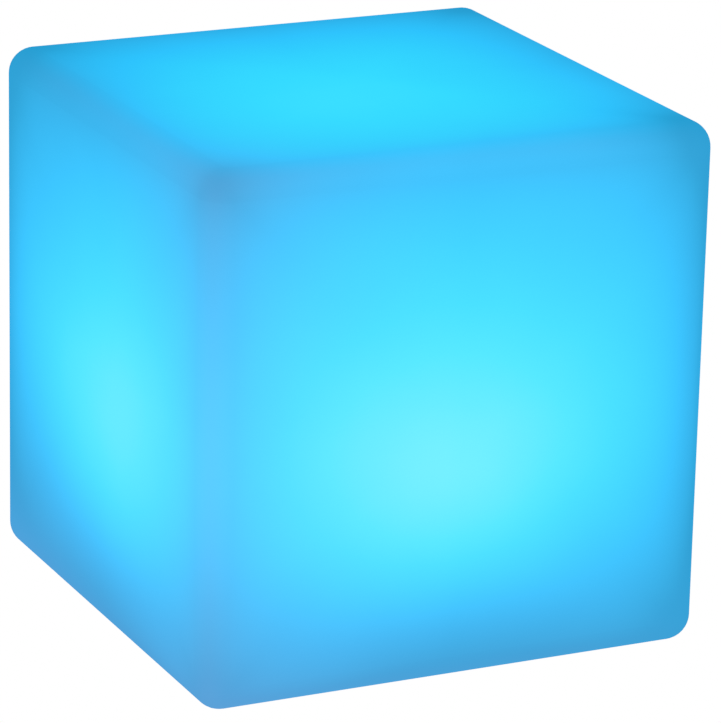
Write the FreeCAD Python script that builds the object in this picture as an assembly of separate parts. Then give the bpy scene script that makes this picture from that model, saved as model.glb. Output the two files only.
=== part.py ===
import FreeCAD, Part
import math
import os

# LED cube light: a hollow rotation-moulded cube that glows all over. A sealed battery light module
# is screwed up into a round well in its underside, where the push button and charging port are.
# Millimetres, +Z up, origin on the floor under the centre of the cube. -Y is the front face.

# ---- Driving dimensions ----------------------------------------------------------------------

CUBE = 400.0                # outside edge of the cube
EDGE_RADIUS = 20.0          # outside rounding of all twelve edges
WALL = 4.0                  # moulded wall
INSIDE_RADIUS = 24.0        # the plastic gathers in the corners, so the inside is rounder

WELL_DEPTH = 20.0           # floor to the ledge that carries the module
WELL_MOUTH = 92.0           # radius where the well meets the underside, before rounding
WELL_DRAFT = 5.0            # degrees, so that the well leaves its mould
OPENING = 62.0              # radius of the hole through the ledge
BOSS = 7.0                  # radius of the six bosses on the ledge
BOSS_HEIGHT = 14.0
INSERT = 3.5                # radius of a brass insert in a boss
INSERT_LENGTH = 9.0

GASKET = 2.0                # thickness of the flat seal under the ledge
PLATE = 3.0                 # thickness of the module's flange and floor
FLANGE = 77.0               # radius of the flange
CUP = 53.0                  # outside radius of the module's cup
CUP_WALL = 2.5
CUP_TOP = 66.0              # height of the cup's rim above the floor
DOME_RISE = 17.0            # height of the clear dome over its flange's underside
DOME_FLANGE = 2.5
DOME_WALL = 2.0

BUTTON = 8.0                # radius of the push button
BUTTON_PROUD = 0.3          # it stands this far out of the module's face
BUTTON_TRAVEL = 1.0
STEM = 2.5                  # radius of the button's stem
PLUNGER = 2.0               # radius of the switch's own plunger
DISH = 19.0                 # radius of the shallow dish round the button
DISH_DEPTH = 1.5

PORT_X = 34.0               # the charging port is this far from the centre
POCKET_DEPTH = 3.0          # the port's cover sits in a pocket
JACK_BORE = 2.8             # radius that takes a 5.5 mm barrel plug
JACK_PIN = 1.05             # 2.1 mm centre pin
JACK_NOSE = 4.6             # radius of the socket's round nose
HINGE_X = PORT_X - 8.6      # the cover bends here
LIGHT_PIPE_X = -30.0

CELL = 9.2                  # radius of one battery cell
CELL_LENGTH = 65.0
CELL_PITCH = 19.2           # between the two cells
STRIP = 0.4                 # thickness of the nickel strips on their ends
FOAM = 1.0                  # thickness of the foam tape on them
BOARD_THICK = 1.6
LED = 5.0                   # side of one square LED
LED_RINGS = ((36.0, 16), (20.0, 8))   # radius and count of each ring of LEDs
PLUG_HEIGHT = 6.0
WIRE = 0.75                 # radius of a lead's wire

M4 = (2.0, 4.0)             # radii of shank and head
TAPPING = (1.2, 2.6)        # the small screws into plastic posts
TINY = (0.8, 1.7)           # the ring's screws

# ---- Heights above the floor -----------------------------------------------------------------

LEDGE = WELL_DEPTH                  # underside of the ledge
LEDGE_TOP = LEDGE + WALL
FLANGE_TOP = LEDGE - GASKET
FACE = FLANGE_TOP - PLATE           # the module's lower face, seen from below
PAD_TOP = FLANGE_TOP + DISH_DEPTH   # the floor is thickened over the dish
PORT_FLOOR = FACE + POCKET_DEPTH
PORT_PAD_TOP = PORT_FLOOR + PLATE
COVER_LOW = FACE + 0.6
COVER_TOP = PORT_FLOOR - 0.2
BOARD = 31.0                        # underside of the control board
BOARD_TOP = BOARD + BOARD_THICK
PLUNGER_LOW = BOARD - 7.0           # where the button's stem meets the switch's plunger
PLUNGER_TOP = BOARD - 2.6
CRADLE = 36.0                       # underside of the battery cradle
CELL_Z = CRADLE + 2.0 + CELL
LED_BOARD = 62.0                    # underside of the LED board
LED_BOARD_TOP = LED_BOARD + BOARD_THICK
DOME = CUP_TOP + 1.0                # underside of the dome's flange, on its seal

CUP_BORE = CUP - CUP_WALL
V = FreeCAD.Vector


# ---- Small tools -----------------------------------------------------------------------------

def post(radius, low, high, x=0, y=0):
    """An upright cylinder."""
    return Part.makeCylinder(radius, high - low, V(x, y, low))


def block(x0, x1, y0, y1, z0, z1):
    return Part.makeBox(x1 - x0, y1 - y0, z1 - z0, V(x0, y0, z0))


def tube(outer, inner, low, high, x=0, y=0):
    return post(outer, low, high, x, y).cut(post(inner, low - 1, high + 1, x, y))


def on_circle(radius, count, first=0.0):
    """Points spread evenly on a circle, the first at an angle in degrees."""
    angles = [math.radians(first + 360.0 * i / count) for i in range(count)]
    return [(radius * math.cos(a), radius * math.sin(a)) for a in angles]


def rounded_wire(corners, place):
    """A closed wire through corners (a, b, radius), each rounded by a tangent arc.
    place turns a plan point into the point in space."""
    bends = []
    for i, (a, b, radius) in enumerate(corners):
        here = V(a, b, 0)
        back = (V(*corners[i - 1][:2], 0) - here).normalize()
        on = (V(*corners[(i + 1) % len(corners)][:2], 0) - here).normalize()
        if radius:
            half = back.getAngle(on) / 2
            middle = (back + on).normalize()
            near = here + middle * (radius / math.sin(half) - radius)
            setback = radius / math.tan(half)
            bends.append((here + back * setback, near, here + on * setback))
        else:
            bends.append((here, here, here))
    edges = []
    for i, (start, near, end) in enumerate(bends):
        if (end - start).Length > 1e-6:
            edges.append(Part.Arc(place(start), place(near), place(end)).toShape())
        following = bends[(i + 1) % len(bends)][0]
        if (following - end).Length > 1e-6:
            edges.append(Part.LineSegment(place(end), place(following)).toShape())
    return Part.Wire(edges)


def turned(corners):
    """A solid of revolution about the upright axis, from corners (radius, height, rounding)."""
    wire = rounded_wire(corners, lambda p: V(p.x, 0, p.y))
    return Part.Face(wire).revolve(V(0, 0, 0), V(0, 0, 1), 360)


def slab(corners, low, high):
    """An upright prism between two heights, from plan corners (x, y, rounding)."""
    wire = rounded_wire(corners, lambda p: V(p.x, p.y, low))
    return Part.Face(wire).extrude(V(0, 0, high - low))


def plate(x0, x1, y0, y1, rounding, low, high):
    """A slab with a rounded rectangle as its plan."""
    corners = [(x, y, rounding) for x, y in ((x0, y0), (x1, y0), (x1, y1), (x0, y1))]
    return slab(corners, low, high)


def pad(x, y, half_x, half_y, rounding, low, high):
    """A plate centred on a point."""
    return plate(x - half_x, x + half_x, y - half_y, y + half_y, rounding, low, high)


def fused(first, *others):
    return first.multiFuse(list(others)).removeSplitter()


def group(shapes):
    """Identical or like pieces that share one node, as separate solids."""
    return Part.makeCompound(shapes)


def drilled(body, radius, low, high, places):
    """The body with a hole between two heights at each place."""
    for x, y in places:
        body = body.cut(post(radius, low, high, x, y))
    return body


def rounded_cube(side, radius, low):
    cube = Part.makeBox(side, side, side, V(-side / 2, -side / 2, low))
    return cube.makeFillet(radius, cube.Edges)


def screws(places, seat, size, length, up=False):
    """Cross-recessed pan-head screws whose heads bear on height seat; up ones are driven upwards."""
    shank, head = size
    head_height = 0.62 * head
    recess = -0.45 * head_height
    arm, slot = 0.62 * head, 0.12 * head
    one = turned([(0, -head_height, 0), (head, -head_height, -recess), (head, 0, 0), (shank, 0, 0),
                  (shank, length, 0.3), (0, length, 0)])
    for along, across in ((arm, slot), (slot, arm)):
        one = one.cut(block(-along, along, -across, across, -head_height - 1, recess))
    if not up:
        one.rotate(V(0, 0, 0), V(1, 0, 0), 180)
    return group([one.translated(V(x, y, seat)) for x, y in places])


def wire_tube(points):
    """A round wire along straight runs joined by tangent arcs.
    Each arc is as large as the shorter run beside it allows."""
    stops = [V(*p) for p in points]
    edges = []
    at = stops[0]
    for before, here, after in zip(stops, stops[1:], stops[2:]):
        back, on = before - here, after - here
        setback = 0.45 * min(back.Length, on.Length)
        half = back.getAngle(on) / 2
        back.normalize()
        on.normalize()
        bend = setback * math.tan(half)
        middle = (back + on).normalize()
        near = here + middle * (bend / math.sin(half) - bend)
        start, end = here + back * setback, here + on * setback
        edges.append(Part.LineSegment(at, start).toShape())
        edges.append(Part.Arc(start, near, end).toShape())
        at = end
    edges.append(Part.LineSegment(at, stops[-1]).toShape())
    section = Part.Wire(Part.makeCircle(WIRE, stops[0], stops[1] - stops[0]))
    return Part.Wire(edges).makePipeShell([section], True, False)


# ---- Where the screws are --------------------------------------------------------------------

FLANGE_SCREWS = on_circle(70.0, 6)
DOME_SCREWS = on_circle(56.5, 6, 30)
RING_SCREWS = on_circle(17.6, 3, 90)
LED_POSTS = on_circle(44.0, 4, 45)
BOARD_POSTS = [(x, y) for x in (-34, 38) for y in (-16, 16)]
CRADLE_POSTS = [(0, -28), (0, 28)]


# ---- The moulded cube ------------------------------------------------------------------------

def well_radius(height, behind=0.0):
    """Radius of the well's drafted wall at a height, or of a surface that far behind it."""
    draft = math.radians(WELL_DRAFT)
    return WELL_MOUTH - height * math.tan(draft) + behind / math.cos(draft)


def shell():
    """The one-piece hollow moulding, with its well, its ledge and six bosses for the inserts."""
    outside = rounded_cube(CUBE, EDGE_RADIUS, 0)
    beyond = WELL_MOUTH + 30
    well = turned([(0, -5, 0), (beyond, -5, 0), (beyond, 0, 0), (well_radius(0), 0, 6),
                   (well_radius(LEDGE), LEDGE, 3), (0, LEDGE, 0)])
    jacket = turned([(0, -5, 0), (beyond, -5, 0), (beyond, WALL, 0), (well_radius(WALL, WALL), WALL, 8),
                     (well_radius(LEDGE_TOP, WALL), LEDGE_TOP, 7), (0, LEDGE_TOP, 0)])
    cavity = rounded_cube(CUBE - 2 * WALL, INSIDE_RADIUS, WALL).cut(jacket)
    cavity = drilled(cavity, BOSS, LEDGE, LEDGE + BOSS_HEIGHT, FLANGE_SCREWS)
    body = outside.cut(well).cut(cavity).cut(post(OPENING, LEDGE - 1, LEDGE_TOP + 1))
    body = drilled(body, INSERT, LEDGE - 1, LEDGE + INSERT_LENGTH, FLANGE_SCREWS)
    return drilled(body, M4[0] + 0.1, LEDGE, LEDGE + INSERT_LENGTH + 2, FLANGE_SCREWS)


def thread_inserts():
    """Brass M4 inserts, held by a groove round their middle."""
    inserts = []
    for x, y in FLANGE_SCREWS:
        insert = tube(INSERT, M4[0] + 0.05, LEDGE, LEDGE + INSERT_LENGTH, x, y)
        groove = tube(INSERT + 1, INSERT - 0.4, LEDGE + 4, LEDGE + 5.5, x, y)
        inserts.append(insert.cut(groove))
    return group(inserts)


# ---- The module's case -----------------------------------------------------------------------

def flange_gasket():
    """The flat silicone ring that keeps water out between the flange and the ledge."""
    ring = tube(FLANGE - 1.5, OPENING + 1, FLANGE_TOP, LEDGE)
    return drilled(ring, M4[0] + 0.4, FLANGE_TOP - 1, LEDGE + 1, FLANGE_SCREWS)


def housing_blank():
    """The flanged cup with its posts, before anything is cut out of it."""
    low = FLANGE_TOP - 0.5
    ear_low = CUP_TOP - 16
    cup = turned([(0, FACE, 0), (FLANGE, FACE, 1.2), (FLANGE, FLANGE_TOP, 0.8), (CUP, FLANGE_TOP, 0.5),
                  (CUP, CUP_TOP, 0.4), (CUP_BORE, CUP_TOP, 0.4), (CUP_BORE, FLANGE_TOP, 1.5),
                  (0, FLANGE_TOP, 0)])
    grown = [post(DISH + 2, low, PAD_TOP), plate(20.5, 49.5, -10, 10, 3, low, PORT_PAD_TOP)]
    grown += [post(3, low, BOARD, x, y) for x, y in BOARD_POSTS]
    grown += [post(3.5, low, LED_BOARD, x, y) for x, y in LED_POSTS]
    grown += [post(3.5, low, CRADLE, x, y) for x, y in CRADLE_POSTS]
    for x, y in DOME_SCREWS:
        web = block(CUP - 1, math.hypot(x, y), -2, 2, ear_low, CUP_TOP)
        web.rotate(V(0, 0, 0), V(0, 0, 1), math.degrees(math.atan2(y, x)))
        grown += [post(3.2, ear_low, CUP_TOP, x, y), web]
    return fused(cup, *grown)


def module_housing():
    """The case: its floor is the face seen from below, and its posts carry boards and battery."""
    pilot, depth = TAPPING[0], 8
    body = drilled(housing_blank(), M4[0] + 0.25, FACE - 1, FLANGE_TOP + 1, FLANGE_SCREWS)
    body = drilled(body, pilot, BOARD - depth, BOARD + 1, BOARD_POSTS)
    body = drilled(body, pilot, LED_BOARD - depth, LED_BOARD + 1, LED_POSTS)
    body = drilled(body, pilot, CRADLE - depth, CRADLE + 1, CRADLE_POSTS)
    body = drilled(body, pilot, CUP_TOP - depth - 1, CUP_TOP + 1, DOME_SCREWS)
    body = drilled(body, TINY[0], PAD_TOP - 2, PAD_TOP + 1, RING_SCREWS)
    dish_floor = FACE + DISH_DEPTH
    dish = turned([(0, FACE - 1, 0), (DISH, FACE - 1, 0), (DISH, FACE, 0),
                   (DISH - DISH_DEPTH, dish_floor, 0), (0, dish_floor, 0)])
    button_hole = post(BUTTON + 0.3, FACE, PAD_TOP + 1)
    pocket = plate(PORT_X - 12, PORT_X + 14, -7, 7, 3, FACE - 1, PORT_FLOOR)
    finger_scoop = Part.makeSphere(8, V(PORT_X + 14.5, 0, FACE - 6.2))
    jack_hole = post(JACK_NOSE + 0.15, FACE, PORT_PAD_TOP + 1, PORT_X, 0)
    anchor_slot = block(PORT_X - 11, PORT_X - 9.5, -3, 3, FACE, PORT_PAD_TOP + 1)
    light_hole = post(1.6, FACE - 1, FLANGE_TOP + 1, LIGHT_PIPE_X, 0)
    moulded_ring = tube(60, 59, FACE - 1, FACE + 0.5)
    hollows = (dish, button_hole, pocket, finger_scoop, jack_hole, anchor_slot, light_hole, moulded_ring)
    for hollow in hollows:
        body = body.cut(hollow)
    return body


def housing_screws():
    """Stainless screws, driven up through the flange and gasket into the inserts."""
    return screws(FLANGE_SCREWS, FACE, M4, 13, up=True)


def cap_arc(rim, rim_height, apex):
    """The arc from the axis at height apex down to radius rim at rim_height, in the XZ plane."""
    rise = apex - rim_height
    sphere = (rim ** 2 + rise ** 2) / (2 * rise)
    half = math.asin(rim / sphere) / 2
    middle = V(sphere * math.sin(half), 0, apex - sphere + sphere * math.cos(half))
    return Part.Arc(V(0, 0, apex), middle, V(rim, 0, rim_height)).toShape()


def dome():
    """The clear cover over the LEDs, flanged and slightly domed."""
    rim, skirt, apex = 51.0, DOME + 5, DOME + DOME_RISE
    inner_rim, inner_apex = rim - DOME_WALL, apex - DOME_WALL
    flange, flange_top = 60.0, DOME + DOME_FLANGE
    profile = [V(rim, 0, skirt), V(rim, 0, flange_top), V(flange, 0, flange_top), V(flange, 0, DOME),
               V(inner_rim, 0, DOME), V(inner_rim, 0, skirt - 1)]
    edges = [cap_arc(rim, skirt, apex), cap_arc(inner_rim, skirt - 1, inner_apex)]
    edges += [Part.LineSegment(a, b).toShape() for a, b in zip(profile, profile[1:])]
    edges.append(Part.LineSegment(V(0, 0, inner_apex), V(0, 0, apex)).toShape())
    body = Part.Face(Part.Wire(Part.__sortEdges__(edges))).revolve(V(0, 0, 0), V(0, 0, 1), 360)
    return drilled(body, TAPPING[0] + 0.5, DOME - 1, flange_top + 1, DOME_SCREWS)


def dome_seal():
    """The flat silicone ring between the cup's rim and the dome."""
    return tube(CUP, CUP_BORE, CUP_TOP, DOME)


def dome_screws():
    return screws(DOME_SCREWS, DOME + DOME_FLANGE, TAPPING, 9)


# ---- Push button and switch ------------------------------------------------------------------

BOOT_RIM = 2.0              # thickness of the boot's clamped rim
BOOT_OUTER = 15.0
BOOT_INNER = 12.0
BOOT_SKIN = 0.7
RING_LIP = 1.4              # thickness of the clamp ring's lip over the rim


def power_button():
    """The round button, the collar that keeps it in, and the stem that works the switch."""
    face = FACE - BUTTON_PROUD
    collar, collar_radius = PAD_TOP + 0.1, BUTTON + 2.2
    collar_top = collar + 1.2
    return turned([(0, face, 0), (BUTTON, face, 0.9), (BUTTON, collar, 0), (collar_radius, collar, 0),
                   (collar_radius, collar_top, 0.3), (STEM, collar_top, 0), (STEM, PLUNGER_LOW, 0),
                   (0, PLUNGER_LOW, 0)])


def button_boot():
    """A silicone diaphragm round the stem: it seals the button and springs it back."""
    rim_top = PAD_TOP + BOOT_RIM
    crown = rim_top + 1.4
    hole, shoulder = STEM + 0.05, 4.0
    return turned([(hole, crown, 0), (shoulder, crown, 0.4), (BOOT_INNER, rim_top, 0.4),
                   (BOOT_OUTER, rim_top, 0), (BOOT_OUTER, PAD_TOP, 0), (BOOT_INNER, PAD_TOP, 0),
                   (BOOT_INNER, rim_top - BOOT_SKIN, 0.3), (shoulder, crown - BOOT_SKIN, 0.4),
                   (hole, crown - BOOT_SKIN, 0)])


def boot_clamp_ring():
    """The ring that holds the boot's rim down on the floor of the cup."""
    rim_top = PAD_TOP + BOOT_RIM
    lip_top = rim_top + RING_LIP
    lip, inner, outer = BOOT_INNER + 0.2, BOOT_OUTER + 0.2, DISH + 0.8
    ring = turned([(lip, rim_top, 0), (lip, lip_top, 0.3), (outer, lip_top, 0.3), (outer, PAD_TOP, 0),
                   (inner, PAD_TOP, 0), (inner, rim_top, 0)])
    return drilled(ring, TINY[0] + 0.3, PAD_TOP - 1, lip_top + 1, RING_SCREWS)


def ring_screws():
    return screws(RING_SCREWS, PAD_TOP + BOOT_RIM + RING_LIP, TINY, 5.2)


SWITCH_LEGS = [(x, y) for x in (-5, 5) for y in (-2.5, 2.5)]
LEG = 2.4                   # length of a soldered leg from the board's underside


def push_switch():
    """The momentary switch under the control board, square, with its plunger's guide hole."""
    body = fused(plate(-6, 6, -6, 6, 0.6, BOARD - 3.6, BOARD), post(3.2, BOARD - 4.4, BOARD - 3.5))
    legs = [block(x - 0.4, x + 0.4, y - 0.3, y + 0.3, BOARD, BOARD + LEG) for x, y in SWITCH_LEGS]
    guide = post(PLUNGER + 0.08, BOARD - 5, PLUNGER_TOP + BUTTON_TRAVEL + 0.2)
    return fused(body, *legs).cut(guide)


def switch_plunger():
    """The switch's own plunger, which the stem pushes."""
    return post(PLUNGER, PLUNGER_LOW, PLUNGER_TOP)


# ---- Charging port ---------------------------------------------------------------------------

JACK_BODY = PORT_PAD_TOP + 1.0      # underside of the socket's square body, on its washer
JACK_END = BOARD - 1.5              # blind end of the socket
JACK_LEGS = [(PORT_X - 3, 0), (PORT_X + 3, 0), (PORT_X, 4)]


def dc_jack():
    """The barrel socket: a round nose through the case and a square body on the board."""
    body = fused(pad(PORT_X, 0, 5.5, 5.5, 0.6, JACK_BODY, BOARD),
                 post(JACK_NOSE, PORT_FLOOR, JACK_BODY + 1, PORT_X, 0))
    legs = [block(x - 0.5, x + 0.5, y - 1, y + 1, BOARD, BOARD + LEG) for x, y in JACK_LEGS]
    return fused(body, *legs).cut(post(JACK_BORE, PORT_FLOOR - 1, JACK_END, PORT_X, 0))


def jack_pin():
    """The plated centre pin, with a rounded tip."""
    tip = PORT_FLOOR + 3.4
    pin = post(JACK_PIN, tip, JACK_END, PORT_X, 0)
    return fused(pin, Part.makeSphere(JACK_PIN, V(PORT_X, 0, tip)))


def jack_washer():
    """The rubber washer under the socket's body."""
    return tube(7, JACK_NOSE + 0.1, PORT_PAD_TOP, JACK_BODY, PORT_X, 0)


def port_cover():
    """The rubber flap, with the tapered nose that plugs the socket and a lip to pull it by."""
    root, shoulder, end = HINGE_X + 0.2, HINGE_X + 3, PORT_X + 13.6
    half_root, half = 4.0, 6.7
    outline = [(root, -half_root, 0), (shoulder, -half, 1.5), (end, -half, 2.8),
               (end, half, 2.8), (shoulder, half, 1.5), (root, half_root, 0)]
    flap = slab(outline, COVER_LOW, COVER_TOP)
    nose = Part.makeCone(JACK_BORE - 0.3, JACK_BORE - 0.9, 2.4, V(PORT_X, 0, COVER_TOP))
    lip = plate(end - 3.8, end - 0.4, -4, 4, 1.2, COVER_LOW - 0.8, COVER_LOW + 0.1)
    return fused(flap, nose, lip)


def port_cover_anchor():
    """The foot of the flap, pushed through a slot in the case and held by its barbed head."""
    foot = plate(PORT_X - 11.7, HINGE_X - 0.2, -4, 4, 0.8, COVER_LOW, PORT_FLOOR)
    neck = block(PORT_X - 11, PORT_X - 9.5, -3, 3, PORT_FLOOR - 0.5, PORT_PAD_TOP + 0.5)
    head = plate(PORT_X - 12.2, PORT_X - 8.3, -4.2, 4.2, 0.8, PORT_PAD_TOP, PORT_PAD_TOP + 1.4)
    return fused(foot, neck, head)


def light_pipe():
    """The clear rod that carries the charging lamp's light down to the face."""
    radius, end = 1.5, FACE + 0.6
    rod = post(radius, end, BOARD - 1.4, LIGHT_PIPE_X, 0)
    collar = post(radius + 0.9, FLANGE_TOP, FLANGE_TOP + 1, LIGHT_PIPE_X, 0)
    return fused(rod, Part.makeSphere(radius, V(LIGHT_PIPE_X, 0, end)), collar)


# ---- Control board ---------------------------------------------------------------------------

def control_board():
    """The rectangular board, slotted for the legs of the switch and of the socket."""
    low, high = BOARD - 1, BOARD_TOP + 1
    board = drilled(plate(-38, 42, -20, 20, 2, BOARD, BOARD_TOP), TAPPING[0] + 0.3, low, high, BOARD_POSTS)
    for x, y in SWITCH_LEGS:
        board = board.cut(block(x - 0.5, x + 0.5, y - 0.4, y + 0.4, low, high))
    for x, y in JACK_LEGS:
        board = board.cut(block(x - 0.6, x + 0.6, y - 1.1, y + 1.1, low, high))
    return board


def control_board_screws():
    return screws(BOARD_POSTS, BOARD_TOP, (TAPPING[0], 2.4), 8)


def board_chips():
    """The processor, the charger, the LED driver and a memory, in flat black packages."""
    processor = pad(-14, 8, 5, 5, 0.3, BOARD_TOP, BOARD_TOP + 1.2)
    charger = pad(14, -9, 2.6, 3.2, 0.3, BOARD_TOP, BOARD_TOP + 1.6)
    driver = pad(22, 10, 3, 2.4, 0.3, BOARD_TOP, BOARD_TOP + 1.5)
    memory = pad(-16, -10, 2.6, 2, 0.3, BOARD_TOP, BOARD_TOP + 1.5)
    return group([processor, charger, driver, memory])


def board_coils_and_caps():
    """Two shielded coils and three ceramic capacitors."""
    coils = [pad(x, y, 3, 3, 0.8, BOARD_TOP, BOARD_TOP + 2.8) for x, y in ((3, -13), (5, 13))]
    caps = [pad(x, y, 1.6, 0.8, 0, BOARD_TOP, BOARD_TOP + 1.4) for x, y in ((-24, 0), (-24, 6), (26, -10))]
    return group(coils + caps)


def charge_led():
    """The small lamp over the light pipe."""
    return pad(LIGHT_PIPE_X, 0, 1.2, 0.8, 0, BOARD - 1, BOARD)


PLUG_TOP = BOARD_TOP + PLUG_HEIGHT  # top of the two plugs on the control board
SOCKET_LOW = LED_BOARD - 5.0        # underside of the one that hangs from the LED board
BATTERY_PLUG = (38.5, -8.0)         # its centre, and its two wires' y
BATTERY_WIRES = (BATTERY_PLUG[1] + 1.8, BATTERY_PLUG[1] - 1.8)
LED_PLUG = (-36.0, 6.0)
LED_SOCKET = (-40.0, 6.0)


def lead_plugs():
    """White nylon plugs of the battery lead and of both ends of the LED lead."""
    battery = pad(*BATTERY_PLUG, 2.5, 4, 0.4, BOARD_TOP, PLUG_TOP)
    lower = pad(*LED_PLUG, 2, 6, 0.4, BOARD_TOP, PLUG_TOP)
    upper = pad(*LED_SOCKET, 2, 6, 0.4, SOCKET_LOW, LED_BOARD)
    return group([battery, lower, upper])


# ---- Battery ---------------------------------------------------------------------------------

CELL_END = CELL_LENGTH / 2 + STRIP  # outer face of either nickel strip
CLAMP_FOOT = CRADLE + 3.0           # top of the cradle's ears, where the clamp's feet sit


def battery_cells():
    """Two cylindrical lithium-ion cells side by side, each with its raised button end."""
    cells = []
    for y in (-CELL_PITCH / 2, CELL_PITCH / 2):
        can = Part.makeCylinder(CELL, CELL_LENGTH - 1.5, V(-CELL_LENGTH / 2, y, CELL_Z), V(1, 0, 0))
        tip = Part.makeCylinder(2.9, 1.5, V(CELL_LENGTH / 2 - 1.5, y, CELL_Z), V(1, 0, 0))
        cells.append(fused(can.makeFillet(0.8, [e for e in can.Edges if e.Closed]), tip))
    return group(cells)


def cell_straps():
    """Nickel strips that join the two cells at each end."""
    reach, half = CELL_PITCH / 2 + 4, 3.5
    starts = (-CELL_END, CELL_END - STRIP)
    return group([block(x, x + STRIP, -reach, reach, CELL_Z - half, CELL_Z + half) for x in starts])


def battery_cradle():
    """The moulded saddle under the cells, with an ear over each post."""
    ears = [pad(x, y * 25 / 28, 6, 7, 2, CRADLE, CLAMP_FOOT) for x, y in CRADLE_POSTS]
    body = fused(plate(-28, 28, -20, 20, 2, CRADLE, CRADLE + 9), *ears)
    for y in (-CELL_PITCH / 2, CELL_PITCH / 2):
        saddle = Part.makeCylinder(CELL + 0.1, 2 * CELL_LENGTH, V(-CELL_LENGTH, y, CELL_Z), V(1, 0, 0))
        body = body.cut(saddle)
    return drilled(body, TAPPING[0] + 0.3, CRADLE - 1, CLAMP_FOOT + 1, CRADLE_POSTS)


def battery_clamp():
    """The sprung steel strap over both cells, with a foot on each ear of the cradle."""
    thick, leg, end, bend = 1.0, 20.3, 32.0, 8.0
    top = CELL_Z + CELL + FOAM
    inside = [(end, CLAMP_FOOT, 0), (leg, CLAMP_FOOT, 0), (leg, top, bend)]
    outside = [(leg + thick, top + thick, bend + thick), (leg + thick, CLAMP_FOOT + thick, 0),
               (end, CLAMP_FOOT + thick, 0)]
    outline = inside + [(-y, z, r) for y, z, r in reversed(inside)]
    outline += [(-y, z, r) for y, z, r in reversed(outside)] + outside
    strap = Part.Face(rounded_wire(outline, lambda p: V(-5, p.x, p.y))).extrude(V(10, 0, 0))
    return drilled(strap, TAPPING[0] + 0.3, CLAMP_FOOT - 1, CLAMP_FOOT + 2, CRADLE_POSTS)


def battery_clamp_screws():
    return screws(CRADLE_POSTS, CLAMP_FOOT + 1.0, TAPPING, 11)


def foam_strip():
    """Foam tape between the clamp and the cells, so that they don't rattle."""
    return plate(-5, 5, -12, 12, 1.5, CELL_Z + CELL, CELL_Z + CELL + FOAM)


def battery_lead_red():
    """From the positive strip over to the plug."""
    x, y = BATTERY_PLUG[0], BATTERY_WIRES[0]
    return wire_tube([(CELL_END, 0, CELL_Z), (CELL_END + 4, 0, CELL_Z), (x + 2.5, -3.5, CELL_Z - 0.5),
                      (x, y, PLUG_TOP + 4.5), (x, y, PLUG_TOP)])


def battery_lead_black():
    """From the negative strip, along the side of the battery and down to the plug."""
    x, y = BATTERY_PLUG[0], BATTERY_WIRES[1]
    side = -CELL_PITCH / 2 - CELL - 4.2
    return wire_tube([(-CELL_END, -2, CELL_Z), (-CELL_END - 4, -2, CELL_Z),
                      (-CELL_END - 4.6, -9, CELL_Z + 1), (-CELL_END - 3.6, -17.5, CELL_Z + 1.8),
                      (-28, side, CELL_Z + 2.4),
                      (-14, side - 0.4, CELL_Z + 2.6), (4, side, CELL_Z + 1.8),
                      (20, side + 0.4, CELL_Z + 0.8), (33, -20, CELL_Z), (x + 1.5, -12.5, CELL_Z - 1.5),
                      (x, y, PLUG_TOP + 4.5), (x, y, PLUG_TOP)])


# ---- LED board -------------------------------------------------------------------------------

def led_board():
    """The round aluminium-backed board, on four posts."""
    board = post(48.5, LED_BOARD, LED_BOARD_TOP)
    return drilled(board, TAPPING[0] + 0.3, LED_BOARD - 1, LED_BOARD_TOP + 1, LED_POSTS)


def led_chips():
    """Square colour-changing LEDs in two rings, each with its bowl, turned to face the centre."""
    top = LED_BOARD_TOP + 1.5
    bowl = Part.makeCone(1.7, 2.0, 0.5, V(0, 0, top - 0.5))
    one = pad(0, 0, LED / 2, LED / 2, 0.4, LED_BOARD_TOP, top).cut(bowl)
    chips = []
    for radius, count in LED_RINGS:
        for x, y in on_circle(radius, count, 180.0 / count):
            chip = one.copy()
            chip.rotate(V(0, 0, 0), V(0, 0, 1), math.degrees(math.atan2(y, x)))
            chips.append(chip.translated(V(x, y, 0)))
    return group(chips)


def led_board_screws():
    return screws(LED_POSTS, LED_BOARD_TOP, TAPPING, 8)


def ir_receiver():
    """The remote-control eye, lying at the middle of the LED board, looking up."""
    body = plate(-3, 3, -3.5, 3.5, 0.5, LED_BOARD_TOP, LED_BOARD_TOP + 3)
    return fused(body, Part.makeSphere(2.4, V(0, 0, LED_BOARD_TOP + 2.6)))


def led_lead():
    """Four wires from the control board's plug up to the LED board's."""
    (x, middle), (socket_x, _) = LED_PLUG, LED_SOCKET
    wires = []
    for i in range(4):
        y = middle + (i - 1.5) * 2.6
        bow = (x - 5.5 - 0.4 * i, y, (PLUG_TOP + SOCKET_LOW) / 2)
        wires.append(wire_tube([(x, y, PLUG_TOP), (x, y, PLUG_TOP + 4.5), bow,
                                (socket_x, y, SOCKET_LOW - 4.5), (socket_x, y, SOCKET_LOW)]))
    return group(wires)


# ---- Write the pieces ------------------------------------------------------------------------

PIECES = (
    shell, thread_inserts, flange_gasket, module_housing, housing_screws, dome, dome_seal, dome_screws,
    power_button, button_boot, boot_clamp_ring, ring_screws, push_switch, switch_plunger,
    dc_jack, jack_pin, jack_washer, port_cover, port_cover_anchor, light_pipe,
    control_board, control_board_screws, board_chips, board_coils_and_caps, charge_led, lead_plugs,
    battery_cells, cell_straps, battery_cradle, foam_strip, battery_clamp, battery_clamp_screws,
    battery_lead_red, battery_lead_black, led_board, led_chips, led_board_screws, ir_receiver, led_lead,
)

os.makedirs("parts", exist_ok=True)
for piece in PIECES:
    shape = piece()
    shape.exportStep(os.path.join("parts", piece.__name__ + ".step"))
    volume = sum(solid.Volume for solid in shape.Solids) / 1000
    print(f"{piece.__name__:22} solids {len(shape.Solids):3}  valid {shape.isValid()}  {volume:9.2f} cm3")
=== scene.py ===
import math

import bmesh
import bpy
from mathutils import Matrix, Quaternion, Vector


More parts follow.
